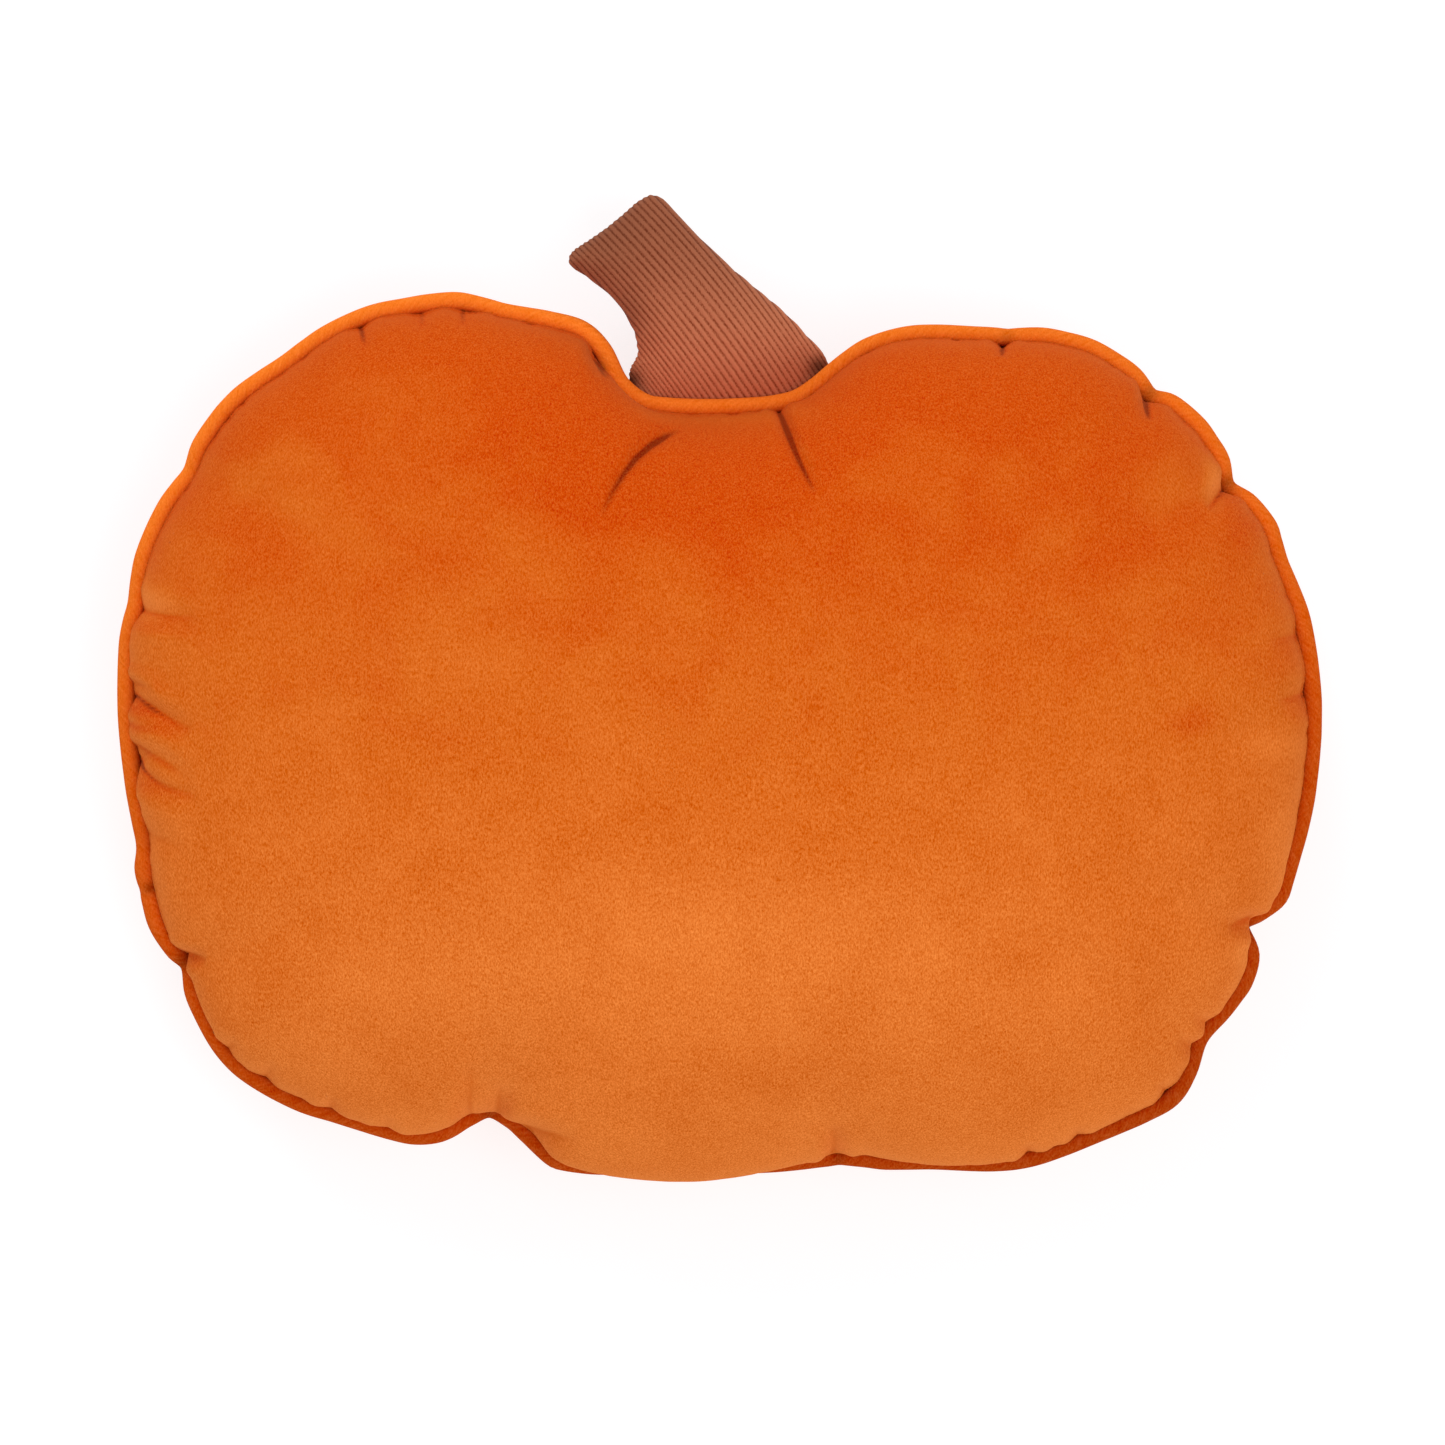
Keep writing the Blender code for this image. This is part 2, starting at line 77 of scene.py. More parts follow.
# Folds and tucks of the front panel: from (x0, y0) at the seam, bending past (xm, ym), to (x1, y1). depth is
# how far the crease goes in, less than nothing for a raised roll, and width how wide it is.
Fold = namedtuple("Fold", "x0 y0 xm ym x1 y1 depth width")
FRONT_FOLDS = [
    Fold(-0.0140, 0.0970, -0.0310, 0.0935, -0.0440, 0.0640, 0.0026, 0.0024),
    Fold(0.0220, 0.1045, 0.0270, 0.0900, 0.0352, 0.0730, 0.0026, 0.0022),
    Fold(-0.0455, 0.1260, -0.0435, 0.1210, -0.0415, 0.1160, 0.0020, 0.0030),
    Fold(0.1600, 0.1110, 0.1597, 0.1060, 0.1600, 0.1005, 0.0028, 0.0030),
    Fold(0.1895, 0.0760, 0.1860, 0.0725, 0.1820, 0.0675, 0.0030, 0.0032),
    Fold(0.1055, 0.1310, 0.1053, 0.1275, 0.1048, 0.1240, 0.0022, 0.0026),
    Fold(-0.1345, 0.1375, -0.1335, 0.1335, -0.1315, 0.1275, 0.0018, 0.0036),
    Fold(-0.1110, 0.1430, -0.1110, 0.1390, -0.1105, 0.1340, 0.0010, 0.0040),
    Fold(-0.0960, 0.1440, -0.0955, 0.1400, -0.0950, 0.1350, 0.0012, 0.0036),
    Fold(-0.2200, -0.0015, -0.2110, -0.0085, -0.1960, -0.0150, 0.0032, 0.0032),
    Fold(-0.2190, -0.0205, -0.2070, -0.0260, -0.1960, -0.0340, 0.0026, 0.0030),
    Fold(-0.2185, -0.0260, -0.2130, -0.0370, -0.1940, -0.0390, 0.0032, 0.0032),
    Fold(-0.2190, 0.0030, -0.2150, 0.0015, -0.2100, 0.0000, 0.0016, 0.0020),
    Fold(-0.2190, -0.0125, -0.2150, -0.0140, -0.2100, -0.0150, 0.0014, 0.0020),
    Fold(-0.2140, -0.0530, -0.2070, -0.0565, -0.1990, -0.0590, 0.0012, 0.0036),
    Fold(-0.2175, 0.0308, -0.2080, 0.0270, -0.1940, 0.0270, 0.0022, 0.0034),
    Fold(-0.2180, 0.0170, -0.2110, 0.0200, -0.2040, 0.0210, -0.0012, 0.0050),
    Fold(-0.2030, -0.0990, -0.1980, -0.0995, -0.1910, -0.1000, 0.0034, 0.0024),
    Fold(-0.1860, -0.1350, -0.1830, -0.1335, -0.1790, -0.1310, 0.0016, 0.0030),
    Fold(-0.1700, -0.1450, -0.1680, -0.1425, -0.1650, -0.1390, 0.0014, 0.0030),
    Fold(-0.1465, -0.1590, -0.1450, -0.1560, -0.1430, -0.1520, 0.0018, 0.0030),
    Fold(-0.1250, -0.1660, -0.1240, -0.1630, -0.1225, -0.1590, 0.0014, 0.0030),
    Fold(-0.0925, -0.1600, -0.0925, -0.1520, -0.0915, -0.1390, 0.0018, 0.0040),
    Fold(-0.0830, -0.1590, -0.0820, -0.1530, -0.0815, -0.1460, 0.0022, 0.0036),
    Fold(-0.0740, -0.1640, -0.0650, -0.1670, -0.0530, -0.1675, 0.0026, 0.0036),
    Fold(0.0430, -0.1740, 0.0430, -0.1690, 0.0425, -0.1620, 0.0026, 0.0030),
    Fold(0.1160, -0.1750, 0.1155, -0.1725, 0.1145, -0.1690, 0.0020, 0.0026),
    Fold(0.1350, -0.1690, 0.1340, -0.1665, 0.1325, -0.1630, 0.0018, 0.0026),
    Fold(0.1680, -0.1520, 0.1665, -0.1495, 0.1640, -0.1460, 0.0018, 0.0028),
    Fold(0.1775, -0.1330, 0.1750, -0.1320, 0.1710, -0.1300, 0.0018, 0.0028),
    Fold(0.1835, -0.1250, 0.1805, -0.1235, 0.1765, -0.1215, 0.0018, 0.0028),
    Fold(0.1990, -0.0860, 0.1950, -0.0870, 0.1890, -0.0880, 0.0026, 0.0030),
    Fold(0.2175, -0.0020, 0.2130, -0.0030, 0.2080, -0.0045, 0.0014, 0.0040),
    Fold(0.2150, 0.0200, 0.2100, 0.0190, 0.2050, 0.0175, 0.0010, 0.0040),
]

# Places where the piping is joined or puckered: it swells or thins within reach, and shade paints its crease
# darker
PipingMark = namedtuple("PipingMark", "x y reach swell shade")
PIPING_MARKS = [
    PipingMark(-0.2150, -0.0660, 0.0045, 0.22, 0.0),
    PipingMark(-0.2130, -0.0740, 0.0022, -0.14, 0.5),
    PipingMark(0.1075, 0.1320, 0.0024, -0.08, 0.2),
    PipingMark(0.1610, 0.1110, 0.0030, -0.08, 0.35),
    PipingMark(0.1900, 0.0775, 0.0030, -0.08, 0.4),
    PipingMark(0.0445, -0.1745, 0.0026, -0.08, 0.3),
    PipingMark(-0.0862, -0.1570, 0.0040, -0.06, 0.35),
    PipingMark(-0.2010, -0.1020, 0.0030, -0.06, 0.35),
    PipingMark(0.1970, -0.0900, 0.0030, -0.04, 0.3),
]

# Where the front panel's tone is drawn paler (tone above nothing) or deeper, as soft ovals: where its pile was
# brushed up or down, and painted highlights and painted shade on its rims, beside folds and on the lip under the
# notch
ToneOval = namedtuple("ToneOval", "x y reach_x reach_y tone")
NAP_AND_LIGHT_MARKS = [
    ToneOval(-0.052, 0.082, 0.035, 0.030, -0.14),
    ToneOval(0.052, 0.106, 0.030, 0.026, -0.04),
    ToneOval(0.016, 0.055, 0.040, 0.028, -0.10),
    ToneOval(0.114, 0.042, 0.035, 0.040, -0.08),
    ToneOval(-0.140, 0.085, 0.050, 0.030, 0.06),
    ToneOval(0.000, -0.098, 0.150, 0.034, 0.20),
    # Painted shade where the panel turns away at the bottom
    ToneOval(0.020, -0.141, 0.070, 0.010, -0.10),
    # Painted highlights on the rims, and painted shade beside a fold at the right
    ToneOval(0.184, 0.077, 0.004, 0.009, 0.40),
    ToneOval(-0.212, 0.032, 0.008, 0.008, 0.35),
    ToneOval(0.176, -0.012, 0.010, 0.006, -0.15),
    ToneOval(0.205, -0.020, 0.014, 0.006, 0.20),
    ToneOval(0.211, -0.060, 0.010, 0.026, 0.18),
    ToneOval(0.195, -0.098, 0.005, 0.006, 0.40),
    ToneOval(-0.150, -0.152, 0.035, 0.008, -0.12),
    # A painted highlight on the lip under the notch
    ToneOval(0.000, 0.1030, 0.034, 0.004, 0.14),
]

# Where shade is painted on the stem: the piping's shadow at the two ends of its base, and its hollow side; tone is
# how much darker
STEM_SHADES = [
    ToneOval(-0.0335, 0.1150, 0.0045, 0.0055, 1.25),
    ToneOval(0.0375, 0.1210, 0.0050, 0.0045, 1.05),
    ToneOval(-0.0330, 0.1400, 0.0060, 0.0080, 0.20),
]

# Colours, linear
# The velvet's ramp holds its pile's tone together with painted sheen and shade; VELVET_SHADE is only reached by
# the painted shade in fold troughs
VELVET_SHADE = (0.27, 0.022, 0.0008, 1.0)
VELVET_DEEP = (0.60, 0.070, 0.0014, 1.0)
VELVET_MIDDLE = (0.67, 0.133, 0.0120, 1.0)
VELVET_PALE = (0.80, 0.200, 0.0310, 1.0)
VELVET_SHEEN = (1.0, 0.40, 0.12, 1.0)
# The piping's shaded and lit copies of one velvet, for its painted light
PIPING_SHADED = (0.38, 0.042, 0.0012, 1.0)
PIPING_MIDDLE = (0.62, 0.085, 0.0040, 1.0)
PIPING_LIT = (0.92, 0.200, 0.0180, 1.0)
FLECK_LIGHT = (0.66, 0.34, 0.105)
# Corduroy ridges, and grooves drawn darker with painted shade
CORDUROY_RIDGE = (0.38, 0.122, 0.060, 1.0)
CORDUROY_GROOVE_SHADE = (0.17, 0.034, 0.013, 1.0)
CORDUROY_SHEEN = (0.75, 0.42, 0.28, 1.0)
FLOOR_WHITE = (0.33, 0.345, 0.36, 1.0)
FLOOR_GLOW = 0.72

# Corduroy, as in the part's source
WALE_PITCH = 0.00242
WALE_ANGLE = math.radians(-51.0)
WALE_BEND = 2.2
WALE_MIDDLE = Vector((-0.010, 0.146))
WALE_CROWD = 220.0
WALE_HEIGHT = 0.00050
STEM_FULLER = 0.0008
STEM_FLARE = (-0.0026, -0.0004)
STEM_FLARE_REACH = 0.008
STEM_VOXEL = 0.0011
STEM_RELAX_TURNS = 6


def select_only(piece):
    bpy.ops.object.select_all(action="DESELECT")
    piece.select_set(True)
    bpy.context.view_layer.objects.active = piece


def welded_copy(node, name):
    """A copy of a CAD node's mesh under a new name, as one surface of quads with no stored normals."""
    piece = bpy.data.objects.new(name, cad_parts[node].data.copy())
    bpy.context.scene.collection.objects.link(piece)
    piece.data.materials.clear()
    select_only(piece)
    if piece.data.has_custom_normals:
        bpy.ops.mesh.customdata_custom_splitnormals_clear()
    bpy.ops.object.mode_set(mode="EDIT")
    bpy.ops.mesh.select_all(action="SELECT")
    bpy.ops.mesh.remove_doubles(threshold=1e-6)
    bpy.ops.mesh.tris_convert_to_quads(face_threshold=math.radians(60), shape_threshold=math.radians(60))
    bpy.ops.object.mode_set(mode="OBJECT")
    bpy.ops.object.shade_smooth()
    return piece


def subdivide_smooth(piece, levels):
    modifier = piece.modifiers.new("finer", "SUBSURF")
    modifier.levels = levels
    modifier.render_levels = levels
    select_only(piece)
    bpy.ops.object.modifier_apply(modifier=modifier.name)


def points_of(mesh):
    flat = np.empty(len(mesh.vertices) * 3, np.float32)
    mesh.vertices.foreach_get("co", flat)
    return flat.reshape(-1, 3).astype(float)


def normals_of(mesh):
    flat = np.empty(len(mesh.vertices) * 3, np.float32)
    mesh.vertex_normals.foreach_get("vector", flat)
    return flat.reshape(-1, 3).astype(float)


def set_points(mesh, points):
    mesh.vertices.foreach_set("co", points.astype(np.float32).ravel())
    mesh.update()


def smooth_step(values, low, high):
    share = np.clip((values - low) / (high - low), 0, 1)
    return share * share * (3 - 2 * share)


def ring_middles(node):
    """The middle of each ring of points of a CAD tube, in order round the cushion, and the tube's radius."""
    tube = welded_copy(node, "piping_guide")
    bm = bmesh.new()
    bm.from_mesh(tube.data)
    bpy.data.objects.remove(tube, do_unlink=True)
    ring_edge = sorted(edge.calc_length() for edge in bm.edges)[len(bm.edges) // 8] * 1.06
    # A dict keeps its order and a set doesn't: the cloth is so sensitive to the seam's last digits that it matters
    waiting = dict.fromkeys(bm.verts)
    middles = []
    radii = []
    while waiting:
        ring = [waiting.popitem()[0]]
        for vert in ring:
            for edge in vert.link_edges:
                other = edge.other_vert(vert)
                if other in waiting and edge.calc_length() < ring_edge:
                    del waiting[other]
                    ring.append(other)
        middle = sum((v.co for v in ring), Vector()) / len(ring)
        middles.append(middle)
        radii += [(v.co - middle).length for v in ring]
    bm.free()
    heart = Vector((0.0, -0.018))
    middles.sort(key=lambda m: math.atan2(m.y - heart.y, m.x - heart.x))
    return middles, float(np.median(radii))


def evenly_round(points, step):
    """A smooth closed line through the points, as an array with one point about every step."""
    points = np.array(points)
    before, after, second = np.roll(points, 1, 0), np.roll(points, -1, 0), np.roll(points, -2, 0)
    fine = []
    for share in np.linspace(0, 1, 12, endpoint=False):
        t2, t3 = share * share, share**3
        fine.append(0.5 * (
            2 * points + (after - before) * share
            + (2 * before - 5 * points + 4 * after - second) * t2
            + (3 * points - before - 3 * after + second) * t3
        ))
    line = np.stack(fine, 1).reshape(-1, 3)
    lengths = np.linalg.norm(np.roll(line, -1, 0) - line, axis=1)
    along = np.concatenate([[0], np.cumsum(lengths)])
    closed = np.vstack([line, line[:1]])
    places = np.linspace(0, along[-1], round(along[-1] / step), endpoint=False)
    return np.stack([np.interp(places, along, closed[:, k]) for k in range(3)], 1)


def nearest_on(line, points):
    """(distance, index) of the nearest point of a line to each point."""
    distance = np.full(len(points), np.inf)
    index = np.zeros(len(points), int)
    for start in range(0, len(points), 4000):
        part = points[start:start + 4000]
        away = np.linalg.norm(part[:, None, :] - line[None, :, :], axis=2)
        index[start:start + 4000] = away.argmin(axis=1)
        distance[start:start + 4000] = away.min(axis=1)
    return distance, index


def fill_body(body, seam):
    """Blows the body up between its sewn edge and its flat back, and keeps each point near its start."""
    start = points_of(body.data)
    from_seam, _ = nearest_on(seam, start)
    free = smooth_step(from_seam, SEWN_BAND, FREE_BAND) * smooth_step(start[:, 2], 0.0, 0.02)
    sewn = body.vertex_groups.new(name="sewn")
    for i in np.flatnonzero(free < 1):
        sewn.add([int(i)], float(1 - free[i]), "REPLACE")
    cloth = body.modifiers.new("filling", "CLOTH")
    settings = cloth.settings
    settings.quality = 6
    settings.mass = 0.25
    settings.tension_stiffness = 18
    settings.compression_stiffness = 18
    settings.shear_stiffness = 6
    settings.bending_stiffness = 1.5
    settings.use_pressure = True
    settings.uniform_pressure_force = FILL_PRESSURE
    settings.vertex_group_mass = "sewn"
    settings.effector_weights.gravity = 0
    cloth.point_cache.frame_start = 1
    cloth.point_cache.frame_end = FILL_FRAMES
    for number in range(1, FILL_FRAMES + 1):
        bpy.context.scene.frame_set(number)
    graph = bpy.context.evaluated_depsgraph_get()
    blown = points_of(body.evaluated_get(graph).data)
    body.modifiers.remove(cloth)
    body.vertex_groups.clear()
    bpy.context.scene.frame_set(1)
    move = blown - start
    length = np.linalg.norm(move, axis=1, keepdims=True)
    move *= np.minimum(1, FILL_CAP / np.maximum(length, 1e-9))
    print("filling moved points by up to", round(float(length.max()) * 1000, 1), "mm")
    set_points(body.data, start + move)


def refine(body, wanted, touching=False):
    """Splits once more the faces whose points are all wanted, or those that touch a wanted point."""
    select_only(body)
    bpy.ops.object.mode_set(mode="EDIT")
    bpy.ops.mesh.select_all(action="DESELECT")
    bpy.ops.object.mode_set(mode="OBJECT")
    for face in body.data.polygons:
        inside = wanted[list(face.vertices)]
        face.select = bool(inside.any() if touching else inside.all())
    bpy.ops.object.mode_set(mode="EDIT")
    bpy.ops.mesh.subdivide(number_cuts=1, smoothness=1.0)
    bpy.ops.object.mode_set(mode="OBJECT")


def away_from_fold(places, fold):
    """(distance, share of the way along) of each place from a fold, which is a curve of two bends."""
    share = np.linspace(0, 1, FOLD_STEPS + 1)[:, None]
    start, bend, end = (np.array(place) for place in (fold[0:2], fold[2:4], fold[4:6]))
    stops = start * (1 - share) ** 2 + 2 * bend * share * (1 - share) + end * share**2
    best = np.full(len(places), np.inf)
    along = np.zeros(len(places))
    for k in range(FOLD_STEPS):
        run = stops[k + 1] - stops[k]
        part = np.clip((places - stops[k]) @ run / (run @ run), 0, 1)
        away = np.linalg.norm(places - stops[k] - part[:, None] * run, axis=1)
        nearer = away < best
        best[nearer] = away[nearer]
        along[nearer] = (k + part[nearer]) / FOLD_STEPS
    return best, along


def near_fold(places, folds, reach):
    """Which places are close enough to one of the folds to need finer faces."""
    near = np.zeros(len(places), bool)
    for fold in folds:
        near |= away_from_fold(places, fold)[0] < fold.width * reach + 0.0006
    return near


def press_folds(body, seam):
    """Presses the named folds and the small gathers into the front panel, and keeps for each point the painted
    shade in their troughs and the panel's painted tone marks.
    """
    points = points_of(body.data)
    normals = normals_of(body.data)
    front = smooth_step(points[:, 2], SEAM_HEIGHT - 0.004, SEAM_HEIGHT + 0.002)
    near, index = nearest_on(seam, points)
    depth = np.zeros(len(points))
    valley_shade = np.zeros(len(points))
    for fold in FRONT_FOLDS:
        away, share = away_from_fold(points[:, :2], fold)
        fade = np.cos(share * math.pi / 2) ** 0.6
        if np.hypot(seam[:, 0] - fold.x0, seam[:, 1] - fold.y0).min() > OPEN_START:
            fade *= smooth_step(share, -0.05, 0.30)
        crease = np.exp(-((away / fold.width) ** 1.4))
        shoulder = np.exp(-((away / fold.width - SHOULDER_PLACE) ** 2) / 0.9)
        depth += fold.depth * fade * (crease - SHOULDER_RISE * shoulder)
        # Painted shade along the fold's trough
        dark = min(1.0, fold.depth / VALLEY_FULL_DEPTH) * fade**1.3 * np.exp(-((away / VALLEY_WIDTH) ** 2))
        valley_shade = np.maximum(valley_shade, dark)
    tucks = gathers(len(seam))[index] * np.exp(-((near / GATHER_REACH) ** 2))
    depth += tucks
    # Painted shade in the gathers as well
    valley_shade = np.maximum(valley_shade, tucks / GATHER_FULL_DEPTH)
    points -= normals * (depth * front)[:, None]
    set_points(body.data, points)
    store(body.data, "valley_shade", np.clip(valley_shade * front, 0, 1))
    # Tone marks from the list: brushed pile, painted highlights and painted shade
    nap_and_light = np.zeros(len(points))
    for mark in NAP_AND_LIGHT_MARKS:
        oval = ((points[:, 0] - mark.x) / mark.reach_x) ** 2 + ((points[:, 1] - mark.y) / mark.reach_y) ** 2
        nap_and_light += mark.tone * np.exp(-oval) * front
    store(body.data, "nap_and_light", nap_and_light)


def store(mesh, name, values):
    """Keeps one number for each point of a mesh, for its material."""
    attribute = mesh.attributes.new(name, "FLOAT", "POINT")
    attribute.data.foreach_set("value", values.astype(np.float32))


def hug_piping(body, seam, radius):
    """Draws the panels up to the piping, so that no gap shows beside it."""
    points = points_of(body.data)
    near, index = nearest_on(seam, points)
    ahead = np.roll(seam, -1, 0) - np.roll(seam, 1, 0)
    ahead /= np.linalg.norm(ahead, axis=1, keepdims=True)
    away = points - seam[index]
    away -= ahead[index] * (away * ahead[index]).sum(axis=1, keepdims=True)
    distance = np.linalg.norm(away, axis=1)
    wanted = radius + SEAM_CLEAR
    pull = 1 - smooth_step(distance - radius, HUG_FULL, HUG_NONE)
    pull[distance < wanted] = 1.0
    pull[distance > radius + HUG_NONE] = 0.0
    points += away / np.maximum(distance, 1e-9)[:, None] * ((wanted - distance) * pull)[:, None]
    set_points(body.data, points)


def gathers(count):
    """How far the seam's small gathers pull the panel in at each step round it."""
    chance = np.random.default_rng(11)
    round_seam = np.zeros(count)
    length = count * PIPING_STEP
    for place in np.cumsum(chance.uniform(0.007, 0.022, int(length / 0.0145))):
        width = chance.uniform(0.0016, 0.0034)
        gap = (np.arange(count) * PIPING_STEP - place + length / 2) % length - length / 2
        round_seam += chance.uniform(0.0002, 0.0011) * np.exp(-((gap / width) ** 2))
    return round_seam


def make_body(seam, radius):
    body = welded_copy("cushion_body", "velvet_body")
    subdivide_smooth(body, 1)
    fill_body(body, seam)
    subdivide_smooth(body, 1)
    points = points_of(body.data)
    near, _ = nearest_on(seam, points)
    refine(body, (near < EDGE_BAND) & (points[:, 2] > SEAM_HEIGHT - 0.002))
    for folds, reach in ((FRONT_FOLDS, 0.7), (FRONT_FOLDS[:2], 0.5)):
        points = points_of(body.data)
        refine(body, near_fold(points[:, :2], folds, reach) & (points[:, 2] > SEAM_HEIGHT + 0.001), touching=True)
    press_folds(body, seam)
    hug_piping(body, seam, radius)
    bpy.ops.object.shade_smooth()
    return body


def make_piping(seam, radius):
    """The piping as a tube round the seam line, with its own lengthwise UVs."""
    chance = np.random.default_rng(5)
    line = bpy.data.curves.new("velvet_piping", "CURVE")
    line.dimensions = "3D"
    line.bevel_depth = radius
    line.bevel_resolution = 5
    spline = line.splines.new("POLY")
    spline.points.add(len(seam) - 1)
    swell = np.convolve(np.tile(chance.normal(0, 1, len(seam)), 3), np.hanning(9) / 4, "same")
    swell = PIPING_UNEVEN * swell[len(seam):2 * len(seam)]
    for mark in PIPING_MARKS:
        swell += mark.swell * np.exp(-(np.hypot(seam[:, 0] - mark.x, seam[:, 1] - mark.y) / mark.reach) ** 2)
    for point, place, more in zip(spline.points, seam, swell):
        point.co = (*place, 1.0)
        point.radius = 1.0 + float(more)
    spline.use_cyclic_u = True
    piping = bpy.data.objects.new("velvet_piping", line)
    bpy.context.scene.collection.objects.link(piping)
    select_only(piping)
    bpy.ops.object.convert(target="MESH")
    piping = bpy.context.view_layer.objects.active
    bpy.ops.object.shade_smooth()
    points = points_of(piping.data)
    kink_shade = np.zeros(len(points))
    # Painted shade across the piping's creases
    for mark in PIPING_MARKS:
        away = np.hypot(points[:, 0] - mark.x, points[:, 1] - mark.y)
        kink_shade = np.maximum(kink_shade, mark.shade * np.exp(-((away / mark.reach) ** 2)))
    store(piping.data, "kink_shade", kink_shade)
    return piping


def across_wales(places):
    """Distance across the corduroy's wales of each place, in metres from the stem's middle."""
    along = np.array([math.cos(WALE_ANGLE), math.sin(WALE_ANGLE)])
    across = np.array([-along[1], along[0]])
    local = places - np.array(WALE_MIDDLE)
    run = local @ along
    side = local @ across + WALE_BEND * run * run / 2
    return side + WALE_CROWD * side**3


def make_stem():
    stem = welded_copy("stem", "corduroy_stem")
    stem.modifiers.new("fuller", "DISPLACE")
    stem.modifiers["fuller"].strength = STEM_FULLER
    stem.modifiers["fuller"].mid_level = 0.0
    remesh = stem.modifiers.new("even", "REMESH")
    remesh.mode = "VOXEL"
    remesh.voxel_size = STEM_VOXEL
    relax = stem.modifiers.new("relax", "SMOOTH")
    relax.factor = 0.5
    relax.iterations = STEM_RELAX_TURNS
    select_only(stem)
    for name in ("fuller", "even", "relax"):
        bpy.ops.object.modifier_apply(modifier=name)
    subdivide_smooth(stem, 1)
    points = points_of(stem.data)
    flare = np.exp(-((points[:, 0] + 0.033) ** 2 + (points[:, 1] - 0.114) ** 2) / STEM_FLARE_REACH**2)
    points[:, :2] += flare[:, None] * STEM_FLARE
    normals = normals_of(stem.data)
    ridge = (0.5 + 0.5 * np.cos(2 * math.pi * across_wales(points[:, :2]) / WALE_PITCH)) ** 0.6
    flatness = 0.65 + 0.35 * np.abs(normals[:, 2])
    points += normals * ((ridge - 0.6) * flatness * WALE_HEIGHT)[:, None]
    set_points(stem.data, points)
    store(stem.data, "ridge", ridge)
    # Painted shade from the marks above
    shade = np.zeros(len(points))
    for mark in STEM_SHADES:
        oval = ((points[:, 0] - mark.x) / mark.reach_x) ** 2 + ((points[:, 1] - mark.y) / mark.reach_y) ** 2
        shade += mark.tone * np.exp(-oval)
    store(stem.data, "shade", shade)
    bpy.ops.object.shade_smooth()
    return stem


def add_node(tree, kind, values=None, **settings):
    """Adds a shader node with input values by socket name or number, and settings by attribute name."""
    node = tree.nodes.new(kind)
    for name, value in settings.items():
        setattr(node, name, value)
    for name, value in (values or {}).items():
        node.inputs[name].default_value = value
    return node


def new_group(name, inputs, outputs):
    """A shader node group with float inputs given as {name: value} and outputs as {name: socket type}."""
    group = bpy.data.node_groups.new(name, "ShaderNodeTree")
    for label, value in inputs.items():
        socket = group.interface.new_socket(label, in_out="INPUT", socket_type="NodeSocketFloat")
        socket.default_value = value
    for label, kind in outputs.items():
        group.interface.new_socket(label, in_out="OUTPUT", socket_type=kind)
    return group, group.nodes.new("NodeGroupInput"), group.nodes.new("NodeGroupOutput")


def pile_group():
    """Short pile on Object coordinates: flecks, soft clouds where it was stroked, and the surface's facing and
    place, which the materials use for painted sheen, light and shade.
    """
    group, given, result = new_group(
        "short_pile",
        {"Fleck Scale": 1800.0, "Cloud Scale": 30.0},
        {name: "NodeSocketFloat" for name in ("Fleck", "Cloud", "Lean", "Up", "Across")},
    )
    links = group.links
    place = add_node(group, "ShaderNodeTexCoord")
    stretched = add_node(group, "ShaderNodeMapping", {"Scale": (1.0, 0.48, 1.0)})
    fleck = add_node(group, "ShaderNodeTexNoise", {"Detail": 2.0, "Roughness": 0.6})
    cloud = add_node(group, "ShaderNodeTexNoise", {"Detail": 3.0, "Roughness": 0.55, "Distortion": 0.6})
    lean = add_node(group, "ShaderNodeSeparateXYZ")
    links.new(place.outputs["Object"], stretched.inputs["Vector"])
    links.new(stretched.outputs["Vector"], fleck.inputs["Vector"])
    links.new(given.outputs["Fleck Scale"], fleck.inputs["Scale"])
    links.new(place.outputs["Object"], cloud.inputs["Vector"])
    links.new(given.outputs["Cloud Scale"], cloud.inputs["Scale"])
    links.new(place.outputs["Normal"], lean.inputs["Vector"])
    links.new(fleck.outputs["Fac"], result.inputs["Fleck"])
    links.new(cloud.outputs["Fac"], result.inputs["Cloud"])
    links.new(lean.outputs["Y"], result.inputs["Lean"])
    spot = add_node(group, "ShaderNodeSeparateXYZ")
    links.new(place.outputs["Object"], spot.inputs["Vector"])
    links.new(spot.outputs["Y"], result.inputs["Up"])
    links.new(spot.outputs["X"], result.inputs["Across"])
    return group


def new_material(name):
    material = bpy.data.materials.new(name)
    material.use_nodes = True
    tree = material.node_tree
    return material, tree, tree.nodes["Principled BSDF"]


def maths(tree, operation, first, second):
    """A Math node; each of first and second is a number or an output."""
    node = add_node(tree, "ShaderNodeMath", operation=operation)
    for socket, value in zip(node.inputs, (first, second)):
        if isinstance(value, (int, float)):
            socket.default_value = value
        else:
            tree.links.new(value, socket)
    return node.outputs["Value"]


def ramp(tree, value, stops):
    """A colour ramp over a value, with stops given as {place: colour}."""
    node = add_node(tree, "ShaderNodeValToRGB")
    elements = node.color_ramp.elements
    for element, (place, colour) in zip(list(elements), list(stops.items())[:2]):
        element.position = place
        element.color = colour
    for place, colour in list(stops.items())[2:]:
        elements.new(place).color = colour
    tree.links.new(value, node.inputs["Fac"])
    return node.outputs["Color"]


def centred(tree, value, gain):
    """A value that runs about 0.5, brought to run about 0 and made gain times as strong."""
    return maths(tree, "MULTIPLY", maths(tree, "SUBTRACT", value, 0.5), gain)


def total(tree, *values):
    whole = values[0]
    for value in values[1:]:
        whole = maths(tree, "ADD", whole, value)
    return whole


